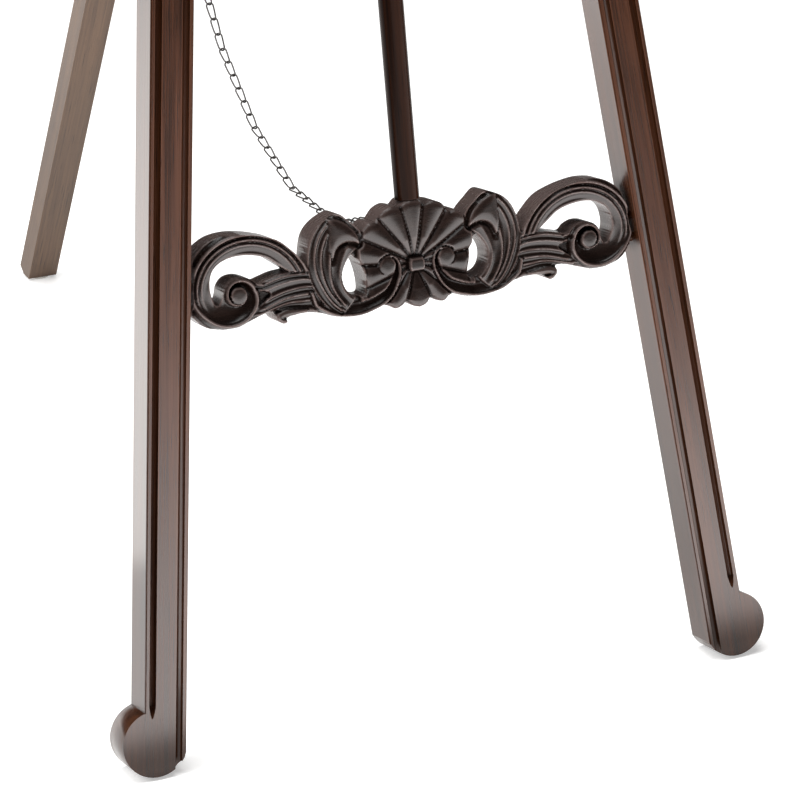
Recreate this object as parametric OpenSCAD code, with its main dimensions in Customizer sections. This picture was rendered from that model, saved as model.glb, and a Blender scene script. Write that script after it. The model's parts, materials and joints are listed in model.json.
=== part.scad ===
// Carved display easel: two splayed, moulded front legs joined by a pierced shell-and-scroll
// stretcher, a round centre rod that carries the picture ledge, and one hinged rear leg on a chain.
// Origin: on the floor, midway between the front feet. X is to the right, Y to the rear, Z up.

/* [Frame] */
// Backward lean of the front frame, degrees
lean = 12; // [8:0.5:16]
// Inward slope of each front leg, degrees
splay = 6.35; // [5.8:0.05:6.8]
// Distance between the front leg centre lines at the floor
foot_span = 631.1; // [600:0.1:660]
// Width of a front leg
leg_w = 44; // [40:1:48]
// Depth of a front leg
leg_d = 40; // [36:1:44]
// Length of a front leg up its slope, to the centre of its rounded top
leg_len = 1645; // [1630:5:1700]

/* [Leg moulding] */
// Width of each groove down the front of a leg
groove_w = 7; // [5:0.5:8]
// Depth of each groove
groove_d = 5; // [4:0.5:6]
// Distance from the leg's edge to its groove
groove_edge = 4.5; // [4:0.5:6]
// Height at which the outer groove of the left leg comes to its point
left_groove_stop = 58; // [50:1:90]
// Height at which the outer groove of the right leg comes to its point
right_groove_stop = 72; // [50:1:90]
// Width of the quirk sunk along each front arris
quirk_w = 1.4; // [1:0.1:2]

/* [Feet] */
// Radius of the rounded foot
foot_r = 34; // [30:1:38]
// Distance from the leg's centre line to the centre of the rounded foot
foot_out = 10; // [8:1:14]
// Height of the centre of the rounded foot
foot_up = 36.5; // [35:0.5:41]
// Thickness of the felt pads
pad_t = 3; // [2:0.5:4]

/* [Stretcher] */
// Height of the stretcher's middle, measured up the front frame
stretcher_v = 465; // [420:5:500]
// Front plane of the carving, behind the front faces of the legs
carve_front = 6; // [4:1:8]
// Depth of the carved relief above its ground
relief = 6; // [4:1:8]
// Back plane of the stretcher
carve_back = 38; // [34:1:39]

/* [Centre rod] */
// Diameter of the centre rod
rod_d = 25; // [22:1:26]
// Distance of the rod's axis behind the front faces of the legs
rod_b = 19; // [18:0.5:20]

/* [Top] */
// Height of the hinge pin, measured up the front frame
pin_v = 1621; // [1616:1:1625]
// Height of the top rail
rail_h = 55; // [50:1:60]

/* [Ledge] */
// Height of the picture ledge's carriage, measured up the front frame
ledge_v = 895; // [785:10:1105]
// Length of the picture ledge
ledge_w = 480; // [400:10:560]
// Depth of the picture ledge in front of the frame
ledge_d = 60; // [45:5:75]
// Thickness of the picture ledge
ledge_t = 18; // [15:1:22]

/* [Rear leg] */
// Slope of the rear leg from the vertical, degrees
rear_angle = 29.8; // [27:0.2:31]
// Width of the rear leg
rear_w = 37.4; // [34:0.2:42]
// Thickness of the rear leg
rear_t = 31.8; // [28:0.2:36]

/* [Chain] */
// Wire diameter of a link
wire = 1.6; // [1.4:0.1:1.6]
// Outside width of a link
link_w = 9; // [8.5:0.1:9.5]

/* [Hidden] */
$fn = 48;
eps = 0.01;
// Clearance of a pin in its hole, and of a shoulder against a leg
play = 0.1;
shoulder_gap = 0.02;
// Facets of a large round
fine = 96;
link_count = 47;
link_pitch = 18.1;
// Each rigid run of the chain ends at one of these links
segment_ends = [0, 6, 12, 18, 24, 35, link_count];
segments = len(segment_ends) - 1;

wood_dark = [0.20, 0.11, 0.08];
wood_carved = [0.24, 0.17, 0.14];
wood_rear = [0.42, 0.33, 0.27];
brass = [0.62, 0.50, 0.28];
steel = [0.20, 0.19, 0.18];
felt = [0.72, 0.66, 0.56];

// ---- Shared shapes ----

// Catmull-Rom curve through the given points, n steps between neighbours
function cr(a, b, c, d, t) =
    0.5 * (2 * b + (c - a) * t + (2 * a - 5 * b + 4 * c - d) * t * t + (3 * b - a - 3 * c + d) * t * t * t);
function spline(p, n = 4) =
    let (m = len(p))
    [for (i = [0 : m - 2], k = [0 : n - 1])
        cr(p[max(i - 1, 0)], p[i], p[i + 1], p[min(i + 2, m - 1)], k / n), p[m - 1]];

// Closed band of varying width along a curve; w0 and w1 are its widths at the two ends
function normal_at(p, i) =
    let (a = p[max(i - 1, 0)], b = p[min(i + 1, len(p) - 1)], d = b - a) [-d[1], d[0]] / norm(d);
function band(p, w0, w1) =
    let (m = len(p) - 1)
    concat([for (i = [0 : m]) p[i] + normal_at(p, i) * (w0 + (w1 - w0) * i / m) / 2],
           [for (i = [m : -1 : 0]) p[i] - normal_at(p, i) * (w0 + (w1 - w0) * i / m) / 2]);

// Spiral round an eye: the radius is given once for each quarter turn
function turn_r(r, q) = let (i = min(floor(q), len(r) - 2)) r[i] * pow(r[i + 1] / r[i], q - i);
function volute(eye, r, start, way, n = 6) =
    [for (k = [0 : (len(r) - 1) * n])
        let (q = k / n, a = start + way * 90 * q) eye + turn_r(r, q) * [cos(a), sin(a)]];

module both_sides() {
    children();
    mirror([1, 0, 0]) children();
}

// Front frame: X across, Y behind the front faces of the legs, Z up the slope
module in_frame() { rotate([-lean, 0, 0]) children(); }

// One front leg: X outward from its centre line, Z up the leg
module in_leg() { in_frame() translate([foot_span / 2, 0, 0]) rotate([0, -splay, 0]) children(); }

// The frame's flat patterns are drawn across and up, then given depth from y0 back to y1
module carve(y0, y1) { translate([0, y1, 0]) rotate([90, 0, 0]) linear_extrude(y1 - y0) children(); }

module above_floor(size = 400) {
    difference() {
        children();
        translate([-1000, -500, -size]) cube([2000, 3000, size + pad_t]);
    }
}

function leg_axis(v) = foot_span / 2 - v * tan(splay);
function inner_edge(v) = leg_axis(v) - leg_w / 2 / cos(splay);
function frame_y(v, b) = v * sin(lean) + b * cos(lean);
function frame_z(v, b) = v * cos(lean) - b * sin(lean);

// ---- Front legs ----

module foot_disc(depth = leg_d) {
    translate([foot_out, depth, foot_up]) rotate([90, 0, 0]) cylinder(h = depth, r = foot_r, $fn = fine);
}

// Cove cutter: a round bar set so that its groove has the chosen width and depth
cove_down = (groove_d * groove_d - groove_w * groove_w / 4) / (2 * groove_d);
cove_r = groove_d - cove_down;
groove_x = leg_w / 2 - groove_edge - groove_w / 2;
point_len = 16;
// Height at which the rounded foot meets the leg's outer face
foot_top = foot_up + sqrt(foot_r * foot_r - pow(leg_w / 2 - foot_out, 2));

module leg_body() {
    translate([-leg_w / 2, 0, foot_up]) cube([leg_w, leg_d, leg_len - foot_up]);
    intersection() {
        translate([-leg_w / 2, 0, 0]) cube([leg_w, leg_d, foot_up + eps]);
        foot_disc();
    }
    translate([0, leg_d, leg_len]) rotate([90, 0, 0]) cylinder(h = leg_d, d = leg_w, $fn = fine);
}

// The outer groove comes to a point at the height stop, and its quirk ends on the foot
module leg_grooves(stop) {
    translate([-groove_x, cove_down, -eps]) cylinder(h = leg_len + leg_w, r = cove_r);
    translate([groove_x, cove_down, stop + point_len]) cylinder(h = leg_len, r = cove_r);
    translate([groove_x, -cove_r / 2, stop])
        rotate([-atan((cove_down + cove_r / 2) / point_len), 0, 0])
            cylinder(h = norm([point_len, cove_down + cove_r / 2]), r1 = 0.1, r2 = cove_r);
    translate([-leg_w / 2 - 1, -1, -eps]) cube([quirk_w + 1, quirk_w + 1, leg_len]);
    translate([leg_w / 2 - quirk_w, -1, foot_top]) cube([quirk_w + 1, quirk_w + 1, leg_len - foot_top]);
}

// Dowel places: height up the frame and depth
stretcher_dowel_v = [stretcher_v - 8, stretcher_v + 14];
rail_drop = 6;
rail_v = pin_v - rail_drop - rail_h;
rail_dowel_v = [rail_v + 15, rail_v + rail_h - 15];
dowel_b = 22;
dowel_d = 8;
dowel_len = 34;
dowel_shown = 15;

module side_dowels(heights, grow = 0) {
    in_frame() for (v = heights)
        translate([inner_edge(v) - dowel_shown - grow, dowel_b, v]) rotate([0, 90, 0])
            cylinder(h = dowel_len + 2 * grow, d = dowel_d + 2 * grow);
}

module front_leg(stop) {
    above_floor() difference() {
        in_leg() difference() {
            leg_body();
            leg_grooves(stop);
        }
        side_dowels(concat(stretcher_dowel_v, rail_dowel_v), play);
    }
}

module foot_scroll() {
    above_floor() in_leg() intersection() {
        foot_disc();
        translate([leg_w / 2, -eps, -foot_r]) cube([foot_r * 2, leg_d + 2 * eps, foot_r * 4]);
    }
}

module right_front_leg() { color(wood_dark) front_leg(right_groove_stop); }
module left_front_leg() { color(wood_dark) mirror([1, 0, 0]) front_leg(left_groove_stop); }
module right_foot_scroll() { color(wood_dark) foot_scroll(); }
module left_foot_scroll() { color(wood_dark) mirror([1, 0, 0]) foot_scroll(); }

foot_pad_d = 24;
foot_pad_in = 1;
module front_foot_pads() {
    color(felt) both_sides()
        translate([leg_axis(0) + foot_out,
                   frame_y(foot_up - foot_r, leg_d) - foot_pad_d / 2 - foot_pad_in, 0])
            cylinder(h = pad_t, d = foot_pad_d);
}

// ---- Carved stretcher: the right half, X outward from the middle, Y up from the middle ----

eye_out = [189.5, 1];
eye_in = [31, 7];
eye_r = 8.8;
hub = [0, 4];
// Radii of the outer volute at each quarter turn, from the side next to the leg round under its eye
volute_r = [49, 32, 22, 15.5, 11.5];

shell_edge = spline([[0, 68], [7, 67], [13, 62]], 3);
shell_lobe_2 = spline([[13, 62], [22, 64], [32, 60], [40, 51]], 3);
shell_lobe_3 = spline([[40, 51], [48, 51], [55, 44]], 3);
leaf_top = spline([[55, 44], [60, 50], [68, 57], [78, 65], [88, 63], [100, 56.5], [109, 46.5], [113.5, 32],
                   [115, 19]]);
scroll_top = spline([[115, 19], [120, 24], [127, 33], [143, 48], [160, 55], [177, 59], [193, 60.5], [210, 58],
                     [224, 50], [234, 38], [239, 22], [240, 5]]);
scroll_under = volute(eye_out, [50.5, 32], -2, -1);
leaf_under = spline([[189, -31], [177, -27], [163, -22.5], [153.5, -22], [151, -30], [144, -34.5], [137, -29.5],
                     [121, -28], [105, -30.5], [92, -35.5], [77, -38.5], [63, -39], [50, -37], [38, -33]], 4);
palmette = spline([[32, -33], [26, -38], [18, -36], [13, -33]], 3);
palmette_tip = spline([[13, -33], [7, -38], [0, -40]], 3);
half_outline = concat(shell_edge, shell_lobe_2, shell_lobe_3, leaf_top, scroll_top, scroll_under, leaf_under,
                      palmette, palmette_tip);

outer_window = concat(
    spline([[213, -6], [217.5, 10], [214.5, 26], [205, 35], [190, 39], [173, 38], [158, 33.5], [146, 25],
            [133, 15]]),
    spline([[133, 15], [146, 14], [158, 11], [168, 9], [174, 14], [184, 17.5], [195, 16], [202, 9], [205, -1],
            [209, -8]]));
inner_window = spline([[68, 23], [75, 14], [79, 4], [78, -7], [73, -15], [64, -19], [56, -19], [55, -8], [57, 5],
                       [61, 16], [68, 23]], 4);

module half_silhouette() {
    difference() {
        polygon(half_outline);
        polygon(outer_window);
        polygon(inner_window);
    }
}

// Raised edges and veins of the carving
scroll_rim = spline([[119, 20], [128, 31], [144, 45.5], [161, 52.5], [177, 56.5], [193, 58], [209, 55.5],
                     [222, 48], [231.5, 36.5], [236.5, 21.5], [237.5, 5]]);
scroll_ridge = spline([[126, 23], [144, 38.5], [161, 45.5], [177, 49.5], [193, 51], [207, 48.5], [218, 41],
                       [226, 31], [230, 19], [230.5, 6]]);
outer_turn = volute(eye_out, [46.5, 29.5, 19.5, 13, 9.5], -1, -1);
inner_turn = spline([[137, -32], [105, -33], [77, -36], [63, -36.5], [50, -34.5], [38, -29.5], [27, -21],
                     [19.5, -11], [16.5, 1], [18, 11], [24, 18.5], [32, 20.5], [40, 17.5], [44.5, 10]]);
leaf_fold_1 = spline([[86, 60], [104, 38], [109, 18], [103, -8], [84, -31]]);
leaf_fold_2 = spline([[91, 54], [97, 38], [102, 20], [97, 5], [94, -6]]);
leaf_fold_3 = spline([[79, 46], [90, 28], [92, 12], [88, -10], [78, -26]]);
leaf_fold_4 = spline([[112, 8], [130, 6], [150, 0], [166, -12], [180, -20]]);
leaf_fold_5 = spline([[116, -4], [132, -8], [148, -14], [160, -19]]);
hook = spline([[80, 60], [70, 53], [61, 44], [59, 34], [64, 27]]);

module fold(p, w0, w1) { polygon(band(p, w0, w1)); }

module shell_flutes() {
    for (a = [-100, -75, -50, -25, 0, 25, 50, 75, 100])
        translate(hub) rotate(-a) polygon([[-2.2, 10], [2.2, 10], [3.6, a == 0 ? 60 : 44 - abs(a) * 0.2],
                                           [-3.6, a == 0 ? 60 : 44 - abs(a) * 0.2]]);
}

module half_relief() {
    fold(scroll_rim, 2, 4);
    fold(scroll_ridge, 2, 4.5);
    fold(outer_turn, 5, 3);
    fold(inner_turn, 4, 4);
    fold(leaf_fold_1, 1.5, 3);
    fold(leaf_fold_2, 1.5, 3);
    fold(leaf_fold_3, 1.5, 3);
    fold(leaf_fold_4, 4, 2);
    fold(leaf_fold_5, 4, 2);
    fold(hook, 3, 2);
    translate(eye_out) circle(eye_r);
    translate(eye_in) circle(eye_r + 1);
}

module stretcher_relief() {
    intersection() {
        both_sides() half_silhouette();
        union() {
            both_sides() half_relief();
            shell_flutes();
            translate(hub - [8, 7]) square([16, 14]);
        }
    }
}

tenon_d = 14;
tenon_len = 34;
rail_tenon_len = 20;
rod_foot_v = stretcher_v + 68;
eye_bore = 12;
eye_b = carve_back + 11;
front_eye_v = 510;
chain_x = -27;
// Small lands where the stretcher meets the legs
land_low = -12;
land_h = 30;
land_w = 20;

module rod_tenon(v, len, grow = 0) {
    in_frame() translate([0, rod_b, v - grow]) cylinder(h = len + 2 * grow, d = tenon_d + 2 * grow);
}

// The ground of the carving reaches out to both legs and is trimmed to their slope
module between_legs() {
    intersection() {
        children();
        polygon([for (v = [-200, 200], s = v < 0 ? [-1, 1] : [1, -1])
            [s * (inner_edge(stretcher_v + v) - shoulder_gap), v]]);
    }
}

module carved_stretcher() {
    color(wood_carved) difference() {
        in_frame() translate([0, 0, stretcher_v]) {
            carve(carve_front + relief, carve_back) between_legs() {
                both_sides() half_silhouette();
                both_sides() translate([inner_edge(stretcher_v) - land_w * 0.7, land_low])
                    square([land_w, land_h]);
            }
            carve(carve_front, carve_front + relief + eps) stretcher_relief();
        }
        rod_tenon(rod_foot_v - tenon_len, tenon_len + 10, play);
        both_sides() side_dowels(stretcher_dowel_v, play);
        in_frame() translate([chain_x, carve_back - eye_bore, front_eye_v]) rotate([-90, 0, 0])
            cylinder(h = eye_bore + 1, d = eye_shank + 2 * play);
    }
}
module stretcher_dowels() { color(wood_rear) both_sides() side_dowels(stretcher_dowel_v); }

module centre_rod() {
    color(wood_dark) {
        in_frame() translate([0, rod_b, rod_foot_v]) cylinder(h = rail_v - rod_foot_v, d = rod_d);
        rod_tenon(rod_foot_v - tenon_len, tenon_len + eps);
        rod_tenon(rail_v - eps, rail_tenon_len + eps);
    }
}

// ---- Top rail and crest ----

crest_back = 34;
// Distance from the crest's middle down to the rail, and size of the plinth along its foot
crest_rise = 44;
crest_v = rail_v + rail_h + crest_rise;
plinth_w = 200;
plinth_h = 14;
plinth_step = 4;
crest_dowel_x = 60;
crest_dowel_len = 30;

module rail_outline() {
    polygon([for (v = [rail_v, rail_v + rail_h], s = v == rail_v ? [-1, 1] : [1, -1])
        [s * (inner_edge(v) - shoulder_gap), v]]);
}

module crest_dowels_at(grow = 0) {
    in_frame() both_sides()
        translate([crest_dowel_x, dowel_b - 1, rail_v + rail_h - crest_dowel_len / 2 - grow])
            cylinder(h = crest_dowel_len + 2 * grow, d = dowel_d + 2 * grow);
}

module top_rail() {
    color(wood_dark) difference() {
        in_frame() difference() {
            carve(carve_front + 2, carve_back) rail_outline();
            // Cove along the front, like the grooves of the legs
            translate([-200, carve_front + 2 - cove_r + groove_d, rail_v + rail_h / 2]) rotate([0, 90, 0])
                cylinder(h = 400, r = cove_r);
        }
        rod_tenon(rail_v - 1, rail_tenon_len + 1, play);
        both_sides() side_dowels(rail_dowel_v, play);
        crest_dowels_at(play);
        hinge_screw_set(pilot = true);
    }
}
module top_rail_dowels() { color(wood_rear) both_sides() side_dowels(rail_dowel_v); }

module crest_silhouette() {
    intersection() {
        union() {
            difference() {
                both_sides() polygon(half_outline);
                both_sides() polygon(inner_window);
            }
            translate([-plinth_w / 2, -crest_rise]) square([plinth_w, plinth_h]);
        }
        // The scrolls stop at the leaf, and the whole fits between the legs
        translate([-116, -crest_rise]) square([232, 120]);
        polygon([for (v = [-crest_rise, 120], s = v < 0 ? [-1, 1] : [1, -1])
            [s * (inner_edge(crest_v + v) - 1), v]]);
    }
}

module top_crest() {
    color(wood_carved) difference() {
        in_frame() translate([0, 0, crest_v]) {
            carve(carve_front + relief, crest_back) crest_silhouette();
            carve(carve_front, carve_front + relief + eps) intersection() {
                crest_silhouette();
                union() {
                    stretcher_relief();
                    translate([-plinth_w / 2, -crest_rise]) square([plinth_w, plinth_step]);
                }
            }
        }
        crest_dowels_at(play);
    }
}
module crest_dowels() { color(wood_rear) crest_dowels_at(); }

// ---- Picture ledge, sliding on the centre rod ----

ledge_gap = 1.5;
lip_t = 12;
lip_h = 38;
carriage_w = 76;
carriage_h = 84;
clamp_axis_v = ledge_v + 46;
clamp_screw_d = 6;
insert_d = 10;
insert_len = 13;
knob_x = 52;
knob_d = 34;
ledge_screw_x = 22;
ledge_screw_len = 46;

module picture_ledge() {
    color(wood_dark) difference() {
        in_frame() translate([-ledge_w / 2, -ledge_gap - ledge_d, ledge_v])
            cube([ledge_w, ledge_d, ledge_t]);
        ledge_screw_set(play);
    }
}

// Half-round nosing with a raised stop along its top
module ledge_lip() {
    color(wood_dark) in_frame()
        translate([-ledge_w / 2, -ledge_gap - ledge_d - lip_t, ledge_v]) {
            cube([ledge_w, lip_t, lip_h - lip_t / 2]);
            translate([0, lip_t / 2, lip_h - lip_t / 2]) rotate([0, 90, 0]) cylinder(h = ledge_w, d = lip_t);
        }
}

module ledge_screw_set(grow = 0) {
    in_frame() for (s = [-1, 1])
        translate([s * ledge_screw_x, 0, ledge_v + ledge_t / 2]) rotate([90, 0, 0]) {
            translate([0, 0, -carve_back + 6 - grow])
                cylinder(h = ledge_screw_len + 2 * grow, d = 4 + 2 * grow);
            translate([0, 0, -carve_back + 3]) cylinder(h = 3 + grow, d1 = 8 + 2 * grow, d2 = 4 + 2 * grow);
            if (grow > 0) translate([0, 0, -carve_back - 5]) cylinder(h = 8, d = 8 + 2 * grow);
        }
}
module ledge_screws() { color(brass) ledge_screw_set(); }

module clamp_bar(x0, x1, d) {
    in_frame() translate([x0, rod_b, clamp_axis_v]) rotate([0, 90, 0]) cylinder(h = x1 - x0, d = d);
}

module ledge_carriage() {
    color(wood_dark) difference() {
        in_frame() translate([-carriage_w / 2, -ledge_gap, ledge_v])
            cube([carriage_w, carve_back + ledge_gap, carriage_h]);
        in_frame() translate([0, rod_b, ledge_v - 5]) cylinder(h = carriage_h + 10, d = rod_d + 0.8);
        clamp_bar(rod_d / 2 - 2, carriage_w / 2 - insert_len, clamp_screw_d + 1);
        clamp_bar(carriage_w / 2 - insert_len - play, carriage_w / 2 + 5, insert_d + 2 * play);
        ledge_screw_set(play);
    }
}

module clamp_insert() {
    color(brass) difference() {
        clamp_bar(carriage_w / 2 - insert_len, carriage_w / 2, insert_d);
        clamp_bar(0, carriage_w, clamp_screw_d + 2 * play);
    }
}

screw_tip_x = rod_d / 2 + 0.5;
module clamp_screw() { color(brass) clamp_bar(screw_tip_x, knob_x + 14, clamp_screw_d); }

// Turned knob: a collar, a waist and a flattened ball
module clamp_knob() {
    color(wood_dark) difference() {
        in_frame() translate([knob_x - 12, rod_b, clamp_axis_v]) rotate([0, 90, 0]) rotate_extrude($fn = 64)
            polygon(concat([[0, 0]],
                spline([[8, 0], [9, 2.5], [7, 6], [7.5, 9], [12, 12], [16, 17], [knob_d / 2, 22], [15, 28],
                        [9, 32], [0, 33]], 4)));
        clamp_bar(knob_x - 20, knob_x + 14 + play, clamp_screw_d + 2 * play);
    }
}

// ---- Hinge and rear leg: in the hinge's frame the pin is at the origin and Z runs up the leg ----

leaf_t = 1.8;
leaf_gap = 0.5;
leaf_w = 36;
leaf_h = 48;
knuckle_r = 3.5;
knuckles = 5;
pin_d = 3.2;
pin_b = carve_back + leaf_t + leaf_gap / 2;
leg_face = leaf_t + leaf_gap / 2;
screw_places = [[-10, -16], [10, -16], [0, -36]];
hinge_screw_d = 3;
hinge_screw_len = 16;

module at_pin(angle) { in_frame() translate([0, pin_b, pin_v]) rotate([lean + angle, 0, 0]) children(); }
module in_rear() { at_pin(rear_angle) children(); }
module in_rail_hinge() { at_pin(-lean) children(); }

// One leaf with its own share of the knuckles; back is +1 on the leg, -1 on the rail
module leaf(back, first) {
    step = leaf_w / knuckles;
    difference() {
        union() {
            translate([-leaf_w / 2, back > 0 ? leaf_gap / 2 : -leg_face, -leaf_h])
                cube([leaf_w, leaf_t, leaf_h - knuckle_r - 1]);
            for (i = [first : 2 : knuckles - 1]) translate([-leaf_w / 2 + i * step + 0.1, 0, 0]) {
                rotate([0, 90, 0]) cylinder(h = step - 0.2, r = knuckle_r);
                translate([0, back > 0 ? leaf_gap / 2 : -leg_face, -knuckle_r - 1 - eps])
                    cube([step - 0.2, leaf_t, knuckle_r + 1 + eps]);
            }
        }
        translate([-leaf_w, 0, 0]) rotate([0, 90, 0]) cylinder(h = 2 * leaf_w, d = pin_d + play);
        for (p = screw_places) translate([p[0], back * leaf_gap / 2, p[1]])
            rotate([-90 * back, 0, 0]) screw(play, false);
    }
}

// Countersunk wood screw, its head flush with the origin and its point along Z
module screw(grow = 0, point = true) {
    cylinder(h = leaf_t, d1 = hinge_screw_d * 2 + 2 * grow, d2 = hinge_screw_d + 2 * grow);
    if (grow > 0) translate([0, 0, -1]) cylinder(h = 1 + eps, d = hinge_screw_d * 2 + 2 * grow);
    translate([0, 0, leaf_t - eps])
        cylinder(h = hinge_screw_len - leaf_t + grow, d = hinge_screw_d + 2 * grow);
    if (point) translate([0, 0, hinge_screw_len - eps * 2])
        cylinder(h = 3 + grow, d1 = hinge_screw_d + 2 * grow, d2 = 0.6);
}

module hinge_screw_set(pilot = false) {
    in_rail_hinge() for (p = screw_places) translate([p[0], -leaf_gap / 2, p[1]])
        rotate([90, 0, 0]) screw(pilot ? play : 0);
}
module leg_screw_set(pilot = false) {
    in_rear() for (p = screw_places) translate([p[0], leaf_gap / 2, p[1]])
        rotate([-90, 0, 0]) screw(pilot ? play : 0);
}

module hinge_frame_leaf() { color(brass) in_rail_hinge() leaf(-1, 0); }
module hinge_leg_leaf() { color(brass) in_rear() leaf(1, 1); }
module hinge_pin() {
    color(brass) in_rear() translate([-leaf_w / 2, 0, 0]) rotate([0, 90, 0]) {
        cylinder(h = leaf_w, d = pin_d);
        for (x = [-1.5, leaf_w]) translate([0, 0, x]) cylinder(h = 1.5, d = pin_d + 2.4);
    }
}
module hinge_frame_screws() { color(brass) hinge_screw_set(); }
module hinge_leg_screws() { color(brass) leg_screw_set(); }

leg_reach = 1850;
leg_drop = 6;
// Length of the level seat under the rear leg, and the rise of the cut behind it
rear_seat = 20;
rear_cut = 31;
rear_pad_in = 13;
module rear_leg() {
    color(wood_rear) above_floor() difference() {
        in_rear() {
            translate([-rear_w / 2, leg_face, -leg_reach])
                cube([rear_w, rear_t, leg_reach - leg_drop - rear_w / 2]);
            // Rounded top end
            translate([0, leg_face + rear_t, -leg_drop - rear_w / 2]) rotate([90, 0, 0])
                cylinder(h = rear_t, d = rear_w, $fn = fine);
        }
        leg_screw_set(pilot = true);
        in_rear() staple(play);
        translate([-rear_w, rear_foot_y + rear_seat, pad_t]) rotate([rear_cut, 0, 0])
            translate([0, 0, -rear_w]) cube([2 * rear_w, 2 * rear_t, rear_w]);
    }
}

pin_y = frame_y(pin_v, pin_b);
pin_z = frame_z(pin_v, pin_b);
function rear_point(back, down) =
    [pin_y + down * sin(rear_angle) + back * cos(rear_angle),
     pin_z - down * cos(rear_angle) + back * sin(rear_angle)];
// Where the rear leg's front face comes down to the top of its pad
rear_foot_y = pin_y + leg_face / cos(rear_angle) + (pin_z - pad_t) * tan(rear_angle);
module rear_foot_pad() {
    color(felt) translate([0, rear_foot_y + rear_pad_in, 0]) cylinder(h = pad_t, d = foot_pad_d);
}

// ---- Chain: a catenary between an eye behind the stretcher and a staple on the rear leg ----

eye_shank = 3;
eye_ring_r = 4.5;
staple_gap = 0.8;
staple_half = 5;
staple_deep = 10;
rear_eye_back = leg_face + rear_t / 2;
rear_eye_down = 812;
chain_c = 322.7;

function sinh(x) = (exp(x) - exp(-x)) / 2;
function cosh(x) = (exp(x) + exp(-x)) / 2;
function asinh(x) = ln(x + sqrt(x * x + 1));

// Ends of the chain, as rear-going and upward distances
chain_a = [frame_y(front_eye_v, eye_b), frame_z(front_eye_v, eye_b)];
chain_b = rear_point(rear_eye_back, rear_eye_down + staple_half);
// Lowest point of a catenary of parameter c through both ends
chain_half = (chain_b - chain_a) / 2;
chain_low_y = (chain_a[0] + chain_b[0]) / 2
    - chain_c * asinh(chain_half[1] / (chain_c * sinh(chain_half[0] / chain_c)));
chain_s0 = chain_c * sinh((chain_a[0] - chain_low_y) / chain_c);
chain_low_z = chain_a[1] - chain_c * (cosh((chain_a[0] - chain_low_y) / chain_c) - 1);
function on_chain(s) =
    let (w = (s + chain_s0) / chain_c)
    [chain_low_y + chain_c * asinh(w), chain_low_z + chain_c * (sqrt(1 + w * w) - 1)];

// Upright and flat links take turns; every pivot is the end wire of a flat link
link_len = link_pitch + 2 * wire + 0.15;
end_wire = (link_len - wire) / 2;
function link_s(i) = link_pitch - end_wire + i * link_pitch;
function pivot_s(k) =
    let (i = segment_ends[k])
    i == 0 ? 0 : i == link_count ? link_s(i - 1) + link_pitch - end_wire
    : i % 2 == 1 ? link_s(i) - end_wire : link_s(i - 1) + end_wire;

function segment_name(k) = str("chain_", k < 10 ? "0" : "", k);

module link() {
    r = (link_w - wire) / 2;
    straight = link_len - link_w;
    for (side = [-1, 1]) {
        translate([side * straight / 2, 0, 0]) intersection() {
            rotate_extrude() translate([r, 0]) circle(d = wire, $fn = 16);
            translate([side > 0 ? 0 : -link_w, -link_w, -wire]) cube([link_w, 2 * link_w, 2 * wire]);
        }
        translate([-straight / 2, side * r, 0]) rotate([0, 90, 0]) cylinder(h = straight, d = wire, $fn = 16);
    }
}

module chain_segment(k) {
    p = on_chain(pivot_s(k - 1));
    d = on_chain(pivot_s(k)) - p;
    color(steel) translate([chain_x, p[0], p[1]]) rotate([atan2(d[1], d[0]), 0, 0])
        for (i = [segment_ends[k - 1] : segment_ends[k] - 1]) translate([0, link_s(i) - pivot_s(k - 1), 0])
            rotate([0, i % 2 == 0 ? 90 : 0, 0]) rotate([0, 0, 90]) link();
}

// Screw eye: its ring lies in the XY plane at the origin and its shank runs along Y
module screw_eye(shank) {
    rotate_extrude() translate([eye_ring_r, 0]) circle(d = wire, $fn = 24);
    translate([0, -eye_ring_r, 0]) rotate([90, 0, 0]) cylinder(h = shank, d = eye_shank);
}
module chain_front_eye() {
    color(brass) in_frame() translate([chain_x, eye_b - eye_ring_r, front_eye_v])
        screw_eye(eye_b - 2 * eye_ring_r - carve_back + eye_bore - 1);
}

// Wire staple driven into the side of the rear leg; its crown stands clear of the face for a link
module staple(grow = 0) {
    for (z = [-1, 1])
        translate([-rear_w / 2 - staple_gap - wire / 2, rear_eye_back, z * staple_half - rear_eye_down])
            rotate([0, 90, 0])
                cylinder(h = staple_gap + wire / 2 + staple_deep + grow, d = wire + 2 * grow);
}
module chain_rear_staple() {
    color(steel) in_rear() {
        staple();
        translate([-rear_w / 2 - staple_gap - wire / 2, rear_eye_back, -staple_half - rear_eye_down])
            cylinder(h = 2 * staple_half, d = wire);
        for (z = [-1, 1]) translate([-rear_w / 2 - staple_gap - wire / 2, rear_eye_back,
                                     z * staple_half - rear_eye_down]) sphere(d = wire);
    }
}

left_front_leg();
right_front_leg();
left_foot_scroll();
right_foot_scroll();
front_foot_pads();
carved_stretcher();
stretcher_dowels();
centre_rod();
top_rail();
top_rail_dowels();
top_crest();
crest_dowels();
picture_ledge();
ledge_lip();
ledge_carriage();
ledge_screws();
clamp_insert();
clamp_screw();
clamp_knob();
rear_leg();
rear_foot_pad();
hinge_frame_leaf();
hinge_leg_leaf();
hinge_pin();
hinge_frame_screws();
hinge_leg_screws();
chain_front_eye();
chain_rear_staple();
for (k = [1 : segments]) chain_segment(k);
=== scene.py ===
"""Looks of the carved display easel: stained wood, carved relief, twisted chain, aged brass, felt pads."""
import json
import math

import bpy
import numpy as np
from mathutils import Matrix, Vector


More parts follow.
